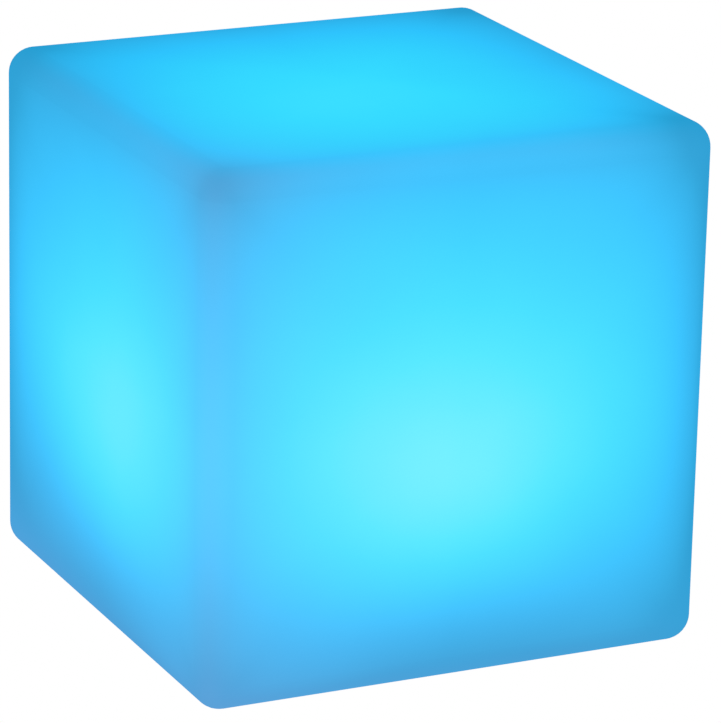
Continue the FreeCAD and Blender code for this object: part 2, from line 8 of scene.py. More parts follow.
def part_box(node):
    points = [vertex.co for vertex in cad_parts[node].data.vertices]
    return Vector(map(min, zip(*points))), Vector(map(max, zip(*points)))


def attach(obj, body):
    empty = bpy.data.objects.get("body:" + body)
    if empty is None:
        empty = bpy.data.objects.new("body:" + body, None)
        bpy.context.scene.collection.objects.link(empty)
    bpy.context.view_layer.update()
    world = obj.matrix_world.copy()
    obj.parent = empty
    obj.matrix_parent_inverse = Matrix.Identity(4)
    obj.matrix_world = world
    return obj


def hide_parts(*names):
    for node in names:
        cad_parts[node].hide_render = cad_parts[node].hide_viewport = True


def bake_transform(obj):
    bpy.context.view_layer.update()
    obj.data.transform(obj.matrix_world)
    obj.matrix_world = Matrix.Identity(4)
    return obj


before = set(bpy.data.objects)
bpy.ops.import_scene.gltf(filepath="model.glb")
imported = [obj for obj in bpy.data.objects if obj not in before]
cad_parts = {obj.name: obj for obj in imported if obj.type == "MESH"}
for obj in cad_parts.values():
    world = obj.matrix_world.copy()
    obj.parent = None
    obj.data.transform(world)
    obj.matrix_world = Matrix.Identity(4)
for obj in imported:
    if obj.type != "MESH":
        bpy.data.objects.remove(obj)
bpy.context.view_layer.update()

# ---- Floor, light and camera -----------------------------------------------------------------
# The lamp stands on a plain white floor in soft studio light. The floor has an opening under the
# lamp and can be looked through from below, so that the underside can be seen and lit too.


def shader(name):
    """A new material, with its tree and its Principled shader."""
    material = bpy.data.materials.new(name)
    material.use_nodes = True
    nodes = material.node_tree.nodes
    principled = next(n for n in nodes if n.type == "BSDF_PRINCIPLED")
    return material, material.node_tree, principled


def feed(tree, socket, value):
    """Gives an input a number, colour or vector, or links it to another node's output."""
    if isinstance(value, bpy.types.NodeSocket):
        tree.links.new(value, socket)
    else:
        socket.default_value = value


def calc(tree, operation, *values, clamp=False):
    """A Math node on sockets or numbers; returns its result."""
    node = tree.nodes.new("ShaderNodeMath")
    node.operation = operation
    node.use_clamp = clamp
    for socket, value in zip(node.inputs, values):
        feed(tree, socket, value)
    return node.outputs[0]


def looked_at(tree):
    """1 where the camera sees a surface straight, in a reflection or through clear plastic."""
    path = tree.nodes.new("ShaderNodeLightPath").outputs
    seen = calc(tree, "MAXIMUM", path["Is Camera Ray"], path["Is Glossy Ray"])
    return calc(tree, "MAXIMUM", seen, path["Is Transmission Ray"])


def piece(name, bm, material, body, smooth=None):
    """Makes a bmesh a piece at the origin that rides on a body; smooth is an angle in degrees."""
    mesh = bpy.data.meshes.new(name)
    if smooth is not None:
        sharp = math.radians(smooth)
        for face in bm.faces:
            face.smooth = True
        for edge in bm.edges:
            edge.smooth = len(edge.link_faces) != 2 or edge.calc_face_angle(0.0) < sharp
    bm.to_mesh(mesh)
    bm.free()
    made = bpy.data.objects.new(name, mesh)
    bpy.context.scene.collection.objects.link(made)
    mesh.materials.append(material)
    if body:
        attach(made, body)
    return made


floor_reach, floor_opening, floor_gap = 7.0, 0.177, 0.0003
floor_grey, floor_lift = 0.80, 0.27
bm = bmesh.new()
bmesh.ops.create_grid(bm, x_segments=1, y_segments=1, size=floor_reach)
bmesh.ops.translate(bm, verts=bm.verts, vec=(0, 0, -floor_gap))
sheet = bm.faces[:]
bmesh.ops.inset_individual(bm, faces=sheet, thickness=floor_reach - floor_opening)
bmesh.ops.delete(bm, geom=sheet, context="FACES_ONLY")
floor_white, tree, principled = shader("floor_white")
principled.inputs["Base Color"].default_value = (floor_grey, floor_grey, floor_grey, 1)
principled.inputs["Roughness"].default_value = 0.9
principled.inputs["Specular IOR Level"].default_value = 0.1
lift = calc(tree, "MULTIPLY", looked_at(tree), floor_lift)
tree.links.new(lift, principled.inputs["Emission Strength"])
principled.inputs["Emission Color"].default_value = (1, 1, 1, 1)
clear = tree.nodes.new("ShaderNodeBsdfTransparent")
side = tree.nodes.new("ShaderNodeMixShader")
facing = tree.nodes.new("ShaderNodeNewGeometry")
output = next(n for n in tree.nodes if n.type == "OUTPUT_MATERIAL")
tree.links.new(facing.outputs["Backfacing"], side.inputs["Fac"])
tree.links.new(principled.outputs["BSDF"], side.inputs[1])
tree.links.new(clear.outputs["BSDF"], side.inputs[2])
tree.links.new(side.outputs["Shader"], output.inputs["Surface"])
piece("floor", bm, floor_white, None)

bpy.context.scene.view_settings.view_transform = "Standard"
room_level = 0.78
world = bpy.data.worlds.new("studio")
world.use_nodes = True
bpy.context.scene.world = world
tree = world.node_tree
room = next(n for n in tree.nodes if n.type == "BACKGROUND")
room.inputs["Color"].default_value = (1, 1, 1, 1)
tree.links.new(calc(tree, "MAXIMUM", looked_at(tree), room_level), room.inputs["Strength"])

lamp_size, lamp_aim = 1.8, Vector((0, 0, 0.2))
key_place, key_power = Vector((-1.5, -2.0, 2.8)), 34
fill_place, fill_power = Vector((2.4, 1.2, 2.2)), 12
for name, place, power in (("key_light", key_place, key_power),
                           ("fill_light", fill_place, fill_power)):
    lamp = bpy.data.lights.new(name, "AREA")
    lamp.shape = "DISK"
    lamp.size = lamp_size
    lamp.energy = power
    holder = bpy.data.objects.new(name, lamp)
    holder.location = place
    holder.rotation_mode = "QUATERNION"
    holder.rotation_quaternion = (place - lamp_aim).to_track_quat("Z", "Y")
    bpy.context.scene.collection.objects.link(holder)

azimuth, elevation, roll = (math.radians(angle) for angle in (-25.4853, 18.0568, 1.2539))
aim, distance = Vector((0.0078, -0.0090, 0.1853)), 3.4408
lens, sensor = 228.715, 36
back = Vector((math.sin(azimuth) * math.cos(elevation),
               -math.cos(azimuth) * math.cos(elevation), math.sin(elevation)))
camera_data = bpy.data.cameras.new("camera")
camera_data.sensor_fit = "HORIZONTAL"
camera_data.sensor_width = sensor
camera_data.lens = lens
camera = bpy.data.objects.new("camera", camera_data)
camera.location = aim + distance * back
camera.rotation_mode = "QUATERNION"
camera.rotation_quaternion = back.to_track_quat("Z", "Y") @ Quaternion((0, 0, 1), roll)
bpy.context.scene.collection.objects.link(camera)
bpy.context.scene.camera = camera


# ---- The moulded cube ------------------------------------------------------------------------
# A hollow cube of milky polyethylene, rotation moulded in one piece and lit from inside. Its walls
# glow cyan where they face the LEDs and a deeper blue towards the edges and the bottom.

cube_side, cube_rounding = 0.4, 0.02


def new_group(name, inputs, outputs):
    """An empty node group with its input and output sockets; returns it and both ends."""
    group = bpy.data.node_groups.new(name, "ShaderNodeTree")
    for direction, sockets in (("INPUT", inputs), ("OUTPUT", outputs)):
        for socket, kind in sockets.items():
            group.interface.new_socket(socket, in_out=direction, socket_type="NodeSocket" + kind)
    given = group.nodes.new("NodeGroupInput").outputs
    return group, given, group.nodes.new("NodeGroupOutput").inputs


def noise(tree, point, scale, detail=2.0, roughness=0.5):
    """A Noise node's value at a point."""
    node = tree.nodes.new("ShaderNodeTexNoise")
    for socket, value in (("Vector", point), ("Scale", scale), ("Detail", detail),
                          ("Roughness", roughness)):
        feed(tree, node.inputs[socket], value)
    return node.outputs["Fac"]


def glow_group():
    """Works out how brightly each point of the wall glows, and its colour, from where it is."""
    group, given, result = new_group(
        "wall_glow", {"Point": "Vector", "Facing": "Vector"}, {"Glow": "Color"})

    def vector(operation, *values):
        node = group.nodes.new("ShaderNodeVectorMath")
        node.operation = operation
        for socket, value in zip(node.inputs, values):
            feed(group, socket, value)
        return node.outputs["Value" if operation in ("DOT_PRODUCT", "LENGTH") else "Vector"]

    def parts(socket):
        node = group.nodes.new("ShaderNodeSeparateXYZ")
        group.links.new(socket, node.inputs[0])
        return node.outputs[:]

    def maths(operation, *values, clamp=False):
        return calc(group, operation, *values, clamp=clamp)

    def times(first, second, clamp=False):
        return maths("MULTIPLY", first, second, clamp=clamp)

    def line(value, slope, start, clamp=False):
        """start plus slope times value."""
        return maths("MULTIPLY_ADD", value, slope, start, clamp=clamp)

    def less(value):
        """What is left of 1."""
        return maths("SUBTRACT", 1.0, value)

    def fall(near, width):
        """1 where near is 0, falling off over a width."""
        return maths("EXPONENT", times(near, -1.0 / width))

    # light that reaches the wall straight from the LEDs, weaker with distance and at a slant
    light_centre = Vector((-0.0167, -0.0344, 0.2528)) * cube_side
    beam_lift, distance_power, straight_gain, stray_level = 2.4272, -2.3427, 0.0625, 0.4501
    ray = vector("SUBTRACT", given["Point"], light_centre)
    reach = maths("DIVIDE", vector("LENGTH", ray), cube_side)
    ray = vector("NORMALIZE", ray)
    slant = maths("MAXIMUM", vector("DOT_PRODUCT", ray, given["Facing"]), 0.0)
    beam = maths("MAXIMUM", line(parts(ray)[2], beam_lift, 1.0), 0.0)
    straight = times(times(beam, slant), maths("POWER", reach, distance_power))
    level = line(straight, straight_gain, stray_level)

    # places on the cube: across is -1 at the near upright edge and 1 at the far one, aside is -1
    # at the left one and 1 at the right one, and upright, level_y and level_x are 1 on the edges
    across_limit, edge_blend = 0.1, 0.06
    x, y, z = parts(given["Point"])
    facing_x, facing_y, facing_z = parts(given["Facing"])
    across = maths("DIVIDE", maths("ADD", x, y), cube_side)
    lean = maths("MINIMUM", across, across_limit)
    aside = maths("DIVIDE", maths("SUBTRACT", x, y), cube_side)
    height = maths("DIVIDE", z, cube_side)
    out_x, out_y = (maths("DIVIDE", maths("ABSOLUTE", v), cube_side / 2) for v in (x, y))
    out_z = maths("ABSOLUTE", line(height, 2.0, -1.0))
    upright, level_y, level_x = (
        maths("SMOOTH_MIN", *pair, edge_blend)
        for pair in ((out_x, out_y), (out_y, out_z), (out_x, out_z)))
    from_edge, from_top = less(upright), less(height)

    def darkened(level, shape, depth, leaning=0.0, siding=0.0):
        """The level less a share of depth in a shape. The share grows by leaning from the near
        edge to the far one, and by siding from left to right."""
        share = line(lean, leaning * depth, depth)
        share = line(aside, siding * depth, share)
        return times(level, less(times(share, shape)))

    # the walls darken towards every edge, in a narrow fall and a wide one, and to the bottom
    upright_falls = ({"width": 0.1301, "depth": 0.5789, "leaning": 0.6937},
                     {"width": 0.5997, "depth": -0.3696, "leaning": 0.8811})
    level_falls = ({"width": 0.1188, "depth": 0.2543, "leaning": 0.2497, "siding": 0.0738},
                   {"width": 0.7941, "depth": 0.0898, "leaning": 0.3815, "siding": -0.5876})
    for place, falls in ((upright, upright_falls), (level_y, level_falls), (level_x, level_falls)):
        for sizes in falls:
            amounts = {name: size for name, size in sizes.items() if name != "width"}
            level = darkened(level, fall(less(place), sizes["width"]), **amounts)
    level = darkened(level, fall(height, width=0.4860), depth=0.0571, leaning=0.5704,
                     siding=-0.4479)
    level = times(level, line(lean, slope=-0.2011, start=1.0))

    # the plastic has gathered in the roundings, and each shows as a darker band
    def band(facing, rise, drop):
        turned = maths("MAXIMUM", less(times(facing, facing)), 0.0)
        return times(maths("POWER", facing, rise), maths("POWER", turned, drop))

    up, down = (maths("MAXIMUM", times(facing_z, way), 0.0) for way in (1.0, -1.0))
    top_sharpness, upright_sharpness = 3.0, 0.6419
    not_top = less(maths("POWER", up, top_sharpness))
    under_top = times(fall(from_top, width=0.15), not_top)
    level = darkened(level, under_top, depth=-0.03, siding=1.2)
    level = darkened(level, band(up, rise=0.5393, drop=0.3037), depth=0.0831, leaning=-0.5556,
                     siding=-0.7230)
    level = darkened(level, band(down, rise=0.6900, drop=1.5771), depth=0.0739, leaning=0.5938)
    turned = times(maths("ABSOLUTE", times(facing_x, facing_y)), 2.0)
    level = darkened(level, maths("POWER", turned, upright_sharpness), depth=0.0569,
                     leaning=0.0374)

    # the top corners differ: the right one is the darkest
    top_corners = times(fall(from_edge, width=0.25), fall(from_top, width=0.1))
    level = darkened(level, top_corners, depth=0.13, leaning=1.16, siding=1.05)

    # stray light inside keeps the darkest corners from going darker than this
    darkest, darkest_blend = 0.41, 0.08
    level = maths("SMOOTH_MAX", level, darkest, darkest_blend)

    # the well in the underside lies in the module's shadow
    well_radius, well_blur, well_top, well_fade = 0.096, 0.014, 0.034, 0.010
    from_axis = vector("LENGTH", vector("MULTIPLY", given["Point"], (1, 1, 0)))
    inward = line(from_axis, -1 / well_blur, well_radius / well_blur, clamp=True)
    low_down = line(z, -1 / well_fade, well_top / well_fade, clamp=True)
    level = darkened(level, times(inward, low_down), depth=0.30)

    # the wall is a little thicker in some places than in others
    unevenness = 0.05
    uneven = noise(group, given["Point"], scale=11.0, detail=3.0)
    level = times(level, line(uneven, unevenness, 1.0 - unevenness / 2))

    # brighter walls turn from blue to pale cyan: a level, and its colour
    stops = ((0.25, (0.0172, 0.210, 0.4800)), (0.35, (0.0229, 0.322, 0.6142)),
             (0.45, (0.0291, 0.409, 0.7548)), (0.55, (0.0349, 0.493, 0.9065)),
             (0.65, (0.0400, 0.592, 1.0549)), (0.75, (0.0481, 0.686, 1.0690)),
             (0.85, (0.0579, 0.767, 1.0784)), (0.95, (0.0794, 0.830, 1.0889)),
             (1.05, (0.1161, 0.863, 1.1001)), (1.15, (0.1619, 0.905, 1.1114)))
    first, last = stops[0][0], stops[-1][0]
    ramp = group.nodes.new("ShaderNodeValToRGB")
    elements = ramp.color_ramp.elements
    while len(elements) < len(stops):
        elements.new(0.5)
    for element, (at, colour) in zip(elements, stops):
        element.position = (at - first) / (last - first)
        element.color = (*colour, 1)
    along = maths("DIVIDE", maths("SUBTRACT", level, first), last - first)
    group.links.new(along, ramp.inputs["Fac"])

    # thick plastic reddens the light: less on the top, more at the near edge and low down
    plain_tint, top_tint, low_tint = (1.08, 1, 1), (-0.48, -0.0837, -0.0739), (1.4524, 0, 0.0411)
    near_corner = times(fall(from_edge, width=0.6), times(across, -1.0, clamp=True))
    ends = line(fall(height, width=0.1), 0.5, fall(from_top, width=0.05))
    near_tips = times(ends, times(near_corner, near_corner))
    from_any_edge = less(maths("MAXIMUM", maths("MAXIMUM", upright, level_y), level_x))
    near_edges = times(fall(from_any_edge, width=0.055), times(across, -4.0, clamp=True))
    top_rim = times(fall(from_any_edge, width=0.25), up)
    redder = 0.0
    for shape, amount in ((times(near_corner, not_top), 1.1015), (near_edges, 0.75),
                          (near_tips, 1.4), (top_rim, 0.27),
                          (under_top, line(aside, 0.1, 0.1))):
        redder = line(shape, amount, redder)
    low = times(fall(height, width=0.12), line(aside, slope=-0.6, start=1.08))
    tint = vector("MULTIPLY_ADD", up, top_tint, plain_tint)
    tint = vector("MULTIPLY_ADD", low, low_tint, tint)
    tint = vector("MULTIPLY_ADD", redder, (1, 0, 0), tint)
    group.links.new(vector("MULTIPLY", ramp.outputs["Color"], tint), result["Glow"])
    return group


glow_strength, painted_glow_share = 0.78, (0.22, 0.22, 0.22, 1)
peel_scale, peel_depth = 420.0, 0.0003
glowing, tree, principled = shader("glowing_polyethylene")
where = tree.nodes.new("ShaderNodeTexCoord")
glow = tree.nodes.new("ShaderNodeGroup")
glow.node_tree = glow_group()
tree.links.new(where.outputs["Object"], glow.inputs["Point"])
tree.links.new(where.outputs["Normal"], glow.inputs["Facing"])
tree.links.new(glow.outputs["Glow"], principled.inputs["Emission Color"])
principled.inputs["Emission Strength"].default_value = glow_strength
# The base colour is the glow's own pattern at 0.22 of its level: painted light, since the plastic
# itself is milky white when unlit.
shade = tree.nodes.new("ShaderNodeMix")
shade.data_type = "RGBA"
shade.blend_type = "MULTIPLY"
shade.inputs["Factor"].default_value = 1.0
tree.links.new(glow.outputs["Glow"], shade.inputs["A"])
shade.inputs["B"].default_value = painted_glow_share
tree.links.new(shade.outputs["Result"], principled.inputs["Base Color"])
principled.inputs["Roughness"].default_value = 0.55
principled.inputs["Specular IOR Level"].default_value = 0.0
relief = tree.nodes.new("ShaderNodeBump")
relief.inputs["Distance"].default_value = peel_depth
tree.links.new(noise(tree, where.outputs["Object"], peel_scale), relief.inputs["Height"])
tree.links.new(relief.outputs["Normal"], principled.inputs["Normal"])
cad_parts["shell"].material_slots[0].material = glowing

# A fine line of flash runs round the underside's rounding, where the mould's two halves met. It
# glows a little less than the wall, as painted shade along the ridge.
line_turn, line_width, line_proud = math.radians(78.75), 0.0004, 0.00016
flash_shaded_strength = 0.68
flat_half = cube_side / 2 - cube_rounding
line_out = Vector((math.cos(line_turn), 0, -math.sin(line_turn)))
line_along = Vector((math.sin(line_turn), 0, math.cos(line_turn)))
line_at = Vector((flat_half, 0, cube_rounding)) + cube_rounding * line_out
bm = bmesh.new()
loops = []
for point in (line_at + line_width * line_along, line_at + line_proud * line_out,
              line_at - line_width * line_along, line_at - 2 * line_proud * line_out):
    before = set(bm.edges)
    ring = bmesh.ops.create_circle(bm, segments=4, radius=point.x * math.sqrt(2))["verts"]
    bmesh.ops.rotate(bm, verts=ring, matrix=Matrix.Rotation(math.radians(45), 3, "Z"))
    bmesh.ops.translate(bm, verts=ring, vec=(0, 0, point.z))
    bmesh.ops.bevel(bm, geom=ring, offset=point.x - flat_half, affect="VERTICES", segments=5,
                    profile=0.5, material=-1, clamp_overlap=False)
    loops.append([edge for edge in bm.edges if edge not in before])
for i, loop in enumerate(loops):
    bmesh.ops.bridge_loops(bm, edges=loop + loops[i - 1])
bmesh.ops.recalc_face_normals(bm, faces=bm.faces)
# A copy of the wall's material with a weaker glow: painted shade, so the bead shows as a line.
flash = glowing.copy()
flash.name = "polyethylene_flash_shaded"
principled = next(n for n in flash.node_tree.nodes if n.type == "BSDF_PRINCIPLED")
principled.inputs["Emission Strength"].default_value = flash_shaded_strength
piece("mould_line", bm, flash, "lamp", smooth=50)


# ---- Threaded inserts ------------------------------------------------------------------------
# Six turned brass inserts, moulded into the bosses over the well. They take the module's screws.


def mixed(tree, share, first, second):
    """A colour between two, each a socket or a colour."""
    node = tree.nodes.new("ShaderNodeMix")
    node.data_type = "RGBA"
    for socket, value in (("Factor", share), ("A", first), ("B", second)):
        feed(tree, node.inputs[socket], value)
    return node.outputs["Result"]


def metal_group():
    """Machined or rolled metal: fine marks drawn out along one way, and dull patches."""
    group, given, result = new_group(
        "machined_metal",
        {"Point": "Vector", "Colour": "Color", "Tarnish": "Color", "Marks": "Vector",
         "Roughness": "Float"},
        {"Colour": "Color", "Roughness": "Float", "Height": "Float"})
    patch_contrast, patch_offset, marks_rough, dull_rough = 2.0, -0.75, 0.18, 0.12
    drawn = group.nodes.new("ShaderNodeVectorMath")
    drawn.operation = "MULTIPLY"
    group.links.new(given["Point"], drawn.inputs[0])
    group.links.new(given["Marks"], drawn.inputs[1])
    marks = noise(group, drawn.outputs[0], scale=1.0, detail=4.0)
    patches = noise(group, given["Point"], scale=260.0, detail=3.0)
    dull = calc(group, "MULTIPLY_ADD", patches, patch_contrast, patch_offset, clamp=True)
    group.links.new(mixed(group, dull, given["Colour"], given["Tarnish"]), result["Colour"])
    rough = calc(group, "MULTIPLY_ADD", marks, marks_rough, given["Roughness"])
    rough = calc(group, "MULTIPLY_ADD", dull, dull_rough, rough)
    group.links.new(rough, result["Roughness"])
    group.links.new(marks, result["Height"])
    return group


def finish(name, group, values, depth, metallic=0.0, rounding=0.0):
    """A material made from a finish group. depth is its relief in metres, and rounding softens the
    edges of a machined or moulded piece in the light."""
    material, tree, principled = shader(name)
    where = tree.nodes.new("ShaderNodeTexCoord")
    made = tree.nodes.new("ShaderNodeGroup")
    made.node_tree = group
    tree.links.new(where.outputs["Object"], made.inputs["Point"])
    for socket, value in values.items():
        is_colour = made.inputs[socket].type == "RGBA"
        made.inputs[socket].default_value = (*value, 1) if is_colour else value
    tree.links.new(made.outputs["Colour"], principled.inputs["Base Color"])
    tree.links.new(made.outputs["Roughness"], principled.inputs["Roughness"])
    principled.inputs["Metallic"].default_value = metallic
    relief = tree.nodes.new("ShaderNodeBump")
    relief.inputs["Distance"].default_value = depth
    relief.inputs["Strength"].default_value = 1.0
    tree.links.new(made.outputs["Height"], relief.inputs["Height"])
    if rounding:
        soft = tree.nodes.new("ShaderNodeBevel")
        soft.samples = 4
        soft.inputs["Radius"].default_value = rounding
        tree.links.new(soft.outputs["Normal"], relief.inputs["Normal"])
    tree.links.new(relief.outputs["Normal"], principled.inputs["Normal"])
    return material


metal = metal_group()


def metal_finish(name, colour, tarnish, marks, roughness, depth, rounding=0.0):
    """A metal; marks is how close its marks lie along x, y and z."""
    values = {"Colour": colour, "Tarnish": tarnish, "Marks": marks, "Roughness": roughness}
    return finish(name, metal, values, depth, metallic=1.0, rounding=rounding)


def dress(material, *nodes):
    """Gives CAD nodes their material."""
    for node in nodes:
        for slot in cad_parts[node].material_slots:
            slot.material = material


brass = metal_finish("turned_brass", (0.78, 0.58, 0.26), tarnish=(0.52, 0.35, 0.14),
                     marks=(300, 300, 6000), roughness=0.24, depth=0.00003)
dress(brass, "thread_inserts")


# ---- Silicone seals --------------------------------------------------------------------------
# Flat rings on the flange and under the dome, moulded in matt grey silicone. The screws press them
# flat, and they keep the rain out of the cube and the module.


def moulded_group():
    """Moulded plastic or rubber: fine grain, cloudy tone, and dull patches from handling."""
    group, given, result = new_group(
        "moulded_finish",
        {"Point": "Vector", "Colour": "Color", "Second": "Color", "Grain": "Float",
         "Roughness": "Float"},
        {"Colour": "Color", "Roughness": "Float", "Height": "Float"})
    cloud_contrast, cloud_offset, grain_contrast, cloud_rough = 1.6, -0.40, 0.6, 0.16
    grain = noise(group, given["Point"], given["Grain"], detail=2.0, roughness=0.6)
    cloud = noise(group, given["Point"], scale=55.0, detail=4.0, roughness=0.55)
    share = calc(group, "MULTIPLY_ADD", cloud, cloud_contrast, cloud_offset, clamp=True)
    specks = calc(group, "SUBTRACT", grain, 0.5)
    share = calc(group, "MULTIPLY_ADD", specks, grain_contrast, share, clamp=True)
    rough = calc(group, "MULTIPLY_ADD", cloud, cloud_rough, given["Roughness"])
    group.links.new(mixed(group, share, given["Colour"], given["Second"]), result["Colour"])
    group.links.new(rough, result["Roughness"])
    group.links.new(grain, result["Height"])
    return group


moulded = moulded_group()


def moulded_finish(name, colour, second, grain, roughness, depth, rounding=0.0):
    """A moulded plastic or rubber; grain is how fine its grain is."""
    values = {"Colour": colour, "Second": second, "Grain": grain, "Roughness": roughness}
    return finish(name, moulded, values, depth, rounding=rounding)


silicone = moulded_finish("grey_silicone", (0.50, 0.52, 0.53), second=(0.60, 0.61, 0.61),
                          grain=900, roughness=0.62, depth=0.00004)
dress(silicone, "flange_gasket", "dome_seal")


# ---- The module's case -----------------------------------------------------------------------
# An injection-moulded cup in white ABS with a fine spark-eroded grain, seen from below as a round
# face with a dish round the button, a pocket for the port's cover and a moulded ring near its rim.

white_abs = moulded_finish("white_abs", (0.78, 0.79, 0.78), second=(0.75, 0.76, 0.75),
                           grain=1500, roughness=0.46, depth=0.00006, rounding=0.0004)
dress(white_abs, "module_housing")

# Six stainless pan-head screws with a cross recess hold the flange up to the inserts. The small
# screws inside and the battery's clamp are zinc-plated steel.
stainless = metal_finish("stainless_screw", (0.63, 0.63, 0.61), tarnish=(0.45, 0.45, 0.44),
                         marks=(900, 900, 3000), roughness=0.20, depth=0.00002,
                         rounding=0.00025)
dress(stainless, "housing_screws")
zinc = metal_finish("zinc_plated_steel", (0.60, 0.61, 0.60), tarnish=(0.42, 0.43, 0.45),
                    marks=(1500, 1500, 1500), roughness=0.30, depth=0.00002, rounding=0.0002)
dress(zinc, "dome_screws", "ring_screws", "control_board_screws", "battery_clamp_screws",
      "led_board_screws", "battery_clamp")


# ---- Push button and its switch --------------------------------------------------------------
# A round grey ABS button in the middle of the face, with a raised power mark. Its stem works a
# switch on the control board, through the boot that a clamp ring holds down.

grey_abs = moulded_finish("grey_abs", (0.36, 0.38, 0.40), second=(0.30, 0.32, 0.34),
                          grain=1800, roughness=0.38, depth=0.00003, rounding=0.0003)
dress(grey_abs, "power_button")
black_nylon = moulded_finish("black_nylon", (0.030, 0.030, 0.033), second=(0.050, 0.050, 0.054),
                             grain=2200, roughness=0.42, depth=0.00003, rounding=0.0002)
dress(black_nylon, "boot_clamp_ring", "push_switch", "dc_jack", "battery_cradle")
white_nylon = moulded_finish("white_nylon", (0.74, 0.73, 0.67), second=(0.66, 0.64, 0.58),
                             grain=1600, roughness=0.40, depth=0.00003)
dress(white_nylon, "switch_plunger", "lead_plugs")
mark_white = moulded_finish("mark_white", (0.74, 0.76, 0.77), second=(0.64, 0.66, 0.67),
                            grain=2500, roughness=0.42, depth=0.00002)

mark_radius, mark_half, mark_sunk, mark_proud = 0.0031, 0.00032, 0.0002, 0.00012
mark_gap, bar_length, bar_centre = math.radians(66), 0.0034, 0.0030
button_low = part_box("power_button")[0].z
mark_high, mark_low, mark_edge = button_low + mark_sunk, button_low - mark_proud, mark_half * 0.7
bm = bmesh.new()
section = [bm.verts.new((x, 0, z)) for x, z in (
    (mark_radius - mark_half, mark_high), (mark_radius - mark_edge, mark_low),
    (mark_radius + mark_edge, mark_low), (mark_radius + mark_half, mark_high))]
face = bm.faces.new(section)
start = Matrix.Rotation(math.radians(90) + mark_gap / 2, 3, "Z")
bmesh.ops.rotate(bm, verts=bm.verts, matrix=start)
bmesh.ops.spin(bm, geom=[face, *face.edges, *face.verts], axis=(0, 0, 1), cent=(0, 0, 0),
               angle=2 * math.pi - mark_gap, steps=48)
bar = bmesh.ops.create_cube(bm, size=1.0)["verts"]
bmesh.ops.scale(bm, verts=bar, vec=(2 * mark_half, bar_length, mark_high - mark_low))
bmesh.ops.translate(bm, verts=bar, vec=(0, bar_centre, (mark_high + mark_low) / 2))
bmesh.ops.recalc_face_normals(bm, faces=bm.faces)
piece("power_mark", bm, mark_white, "button", smooth=40)

# The boot is a soft silicone hat with a ripple in its crown. Its rim is clamped, and its crown
# grips the stem.
boot_low, rim_top, crown_low, skin, ripple = 0.0195, 0.0215, 0.0222, 0.0007, 0.0004
crown_top, shoulder = crown_low + skin, 0.0002
bm = bmesh.new()
rim = ((0.01150, boot_low), (0.01500, boot_low), (0.01500, rim_top), (0.01205, rim_top))
over_crown = ((0.01195, crown_low), (0.01170, crown_top - shoulder), (0.01130, crown_top),
              (0.00860, crown_top), (0.00800, crown_top - ripple / 2),
              (0.00740, crown_top - ripple), (0.00680, crown_top - ripple / 2),
              (0.00620, crown_top), (0.00255, crown_top))
under_crown = ((0.00255, crown_low), (0.00600, crown_low), (0.00670, crown_low - ripple / 2),
               (0.00740, crown_low - ripple), (0.00810, crown_low - ripple / 2),
               (0.00880, crown_low), (0.01100, crown_low), (0.01130, crown_low - shoulder),
               (0.01145, rim_top))
section = [bm.verts.new((x, 0, z)) for x, z in rim + over_crown + under_crown]
sides = [bm.edges.new((section[i - 1], section[i])) for i in range(len(section))]
bmesh.ops.spin(bm, geom=section + sides, axis=(0, 0, 1), cent=(0, 0, 0), angle=2 * math.pi,
               steps=64, use_merge=True)
bmesh.ops.recalc_face_normals(bm, faces=bm.faces)
boot = piece("silicone_boot", bm, silicone, None, smooth=40)
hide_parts("button_boot")
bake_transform(boot)


# ---- Charging port and its cover -------------------------------------------------------------
# A barrel socket in a pocket of the face, sealed by a rubber washer. Its cover is one moulding of
# black rubber: a flap with a nose that plugs the socket, a thin web to bend at, and a barbed foot.

rubber = moulded_finish("black_rubber", (0.034, 0.034, 0.036), second=(0.060, 0.060, 0.062),
                        grain=1300, roughness=0.58, depth=0.00004, rounding=0.0002)
dress(rubber, "jack_washer", "port_cover_anchor")
nickel = metal_finish("nickel_plate", (0.66, 0.63, 0.57), tarnish=(0.48, 0.45, 0.40),
                      marks=(400, 2500, 2500), roughness=0.26, depth=0.00001)
dress(nickel, "jack_pin", "cell_straps")


def block(bm, low, high, rounding, segments=3):
    """A box between two corners with rounded edges, added to a bmesh."""
    low, high = Vector(low), Vector(high)
    verts = bmesh.ops.create_cube(bm, size=1.0)["verts"]
    bmesh.ops.scale(bm, verts=verts, vec=high - low)
    bmesh.ops.translate(bm, verts=verts, vec=(low + high) / 2)
    edges = {e for v in verts for e in v.link_edges}
    bmesh.ops.bevel(bm, geom=list(edges), offset=rounding, affect="EDGES", segments=segments,
                    profile=0.5, material=-1)


flap_low, flap_high, flap_half, foot_half = 0.0156, 0.0178, 0.0067, 0.0040
root_x, shoulder_x, end_x, port_x = 0.0256, 0.0284, 0.0476, 0.034
end_rounding, rim_rounding = 0.0028, 0.00035
bm = bmesh.new()
outline = [bm.verts.new((x, y, flap_low)) for x, y in (
    (root_x, -foot_half), (shoulder_x, -flap_half), (end_x, -flap_half),
    (end_x, flap_half), (shoulder_x, flap_half), (root_x, foot_half))]
bm.faces.new(outline)
bmesh.ops.bevel(bm, geom=outline[2:4], offset=end_rounding, affect="VERTICES", segments=8,
                profile=0.5, material=-1)
risen = bmesh.ops.extrude_face_region(bm, geom=bm.faces[:])["geom"]
bmesh.ops.translate(bm, verts=[v for v in risen if isinstance(v, bmesh.types.BMVert)],
                    vec=(0, 0, flap_high - flap_low))
rims = [e for e in bm.edges if abs(e.verts[0].co.z - e.verts[1].co.z) < 1e-6]
bmesh.ops.bevel(bm, geom=rims, offset=rim_rounding, affect="EDGES", segments=3, profile=0.5,
                material=-1)

